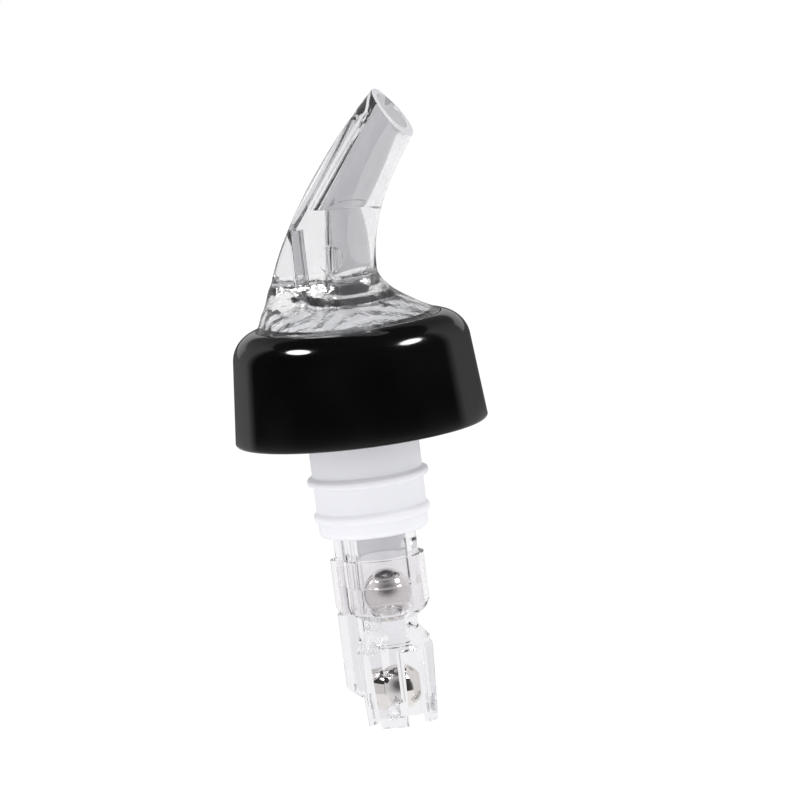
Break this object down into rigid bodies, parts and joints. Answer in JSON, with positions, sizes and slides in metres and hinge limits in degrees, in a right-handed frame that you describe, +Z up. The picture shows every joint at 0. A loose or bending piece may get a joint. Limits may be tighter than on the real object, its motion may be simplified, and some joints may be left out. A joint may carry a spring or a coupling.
{
  "type": "measured liquor pourer",
  "caption": "Bottle-neck pourer with a clear bent spout, black collar and ribbed cork; a rolling steel ball in its tube ends each pour and another shuts its inlet.",
  "frame": {"origin": "on the axis of the bottle's neck, in the plane where the cork's flange rests on the bottle's lip", "axes": "+Z up along the neck's axis, out of the bottle; +X the way the spout bends and pours; the vent is on the -X side"},
  "size_m": [0.042, 0.042, 0.1054],
  "materials": {
    "clear_styrene": "clear, polished",
    "black_gloss": "high gloss",
    "white_polythene": "satin, slightly translucent",
    "milky_polypropylene": "satin, milky",
    "polished_steel": "polished"
  },
  "bodies": {
    "pourer": {"spout": "clear_styrene", "collar": "black_gloss", "cork": "white_polythene", "measuring_tube": "clear_styrene", "coupling_sleeve": "milky_polypropylene", "valve_cage": "clear_styrene"},
    "control_ball": {"control_ball": "polished_steel"},
    "check_ball": {"check_ball": "polished_steel"}
  },
  "joints": [
    {"name": "control_ball_slide", "type": "slide", "parent": "pourer", "child": "control_ball", "axis": [0, 0, 1], "range_m": [0, 0.05117]},
    {"name": "check_ball_slide", "type": "slide", "parent": "pourer", "child": "check_ball", "axis": [0, 0, 1], "range_m": [0, 0.0046]}
  ]
}
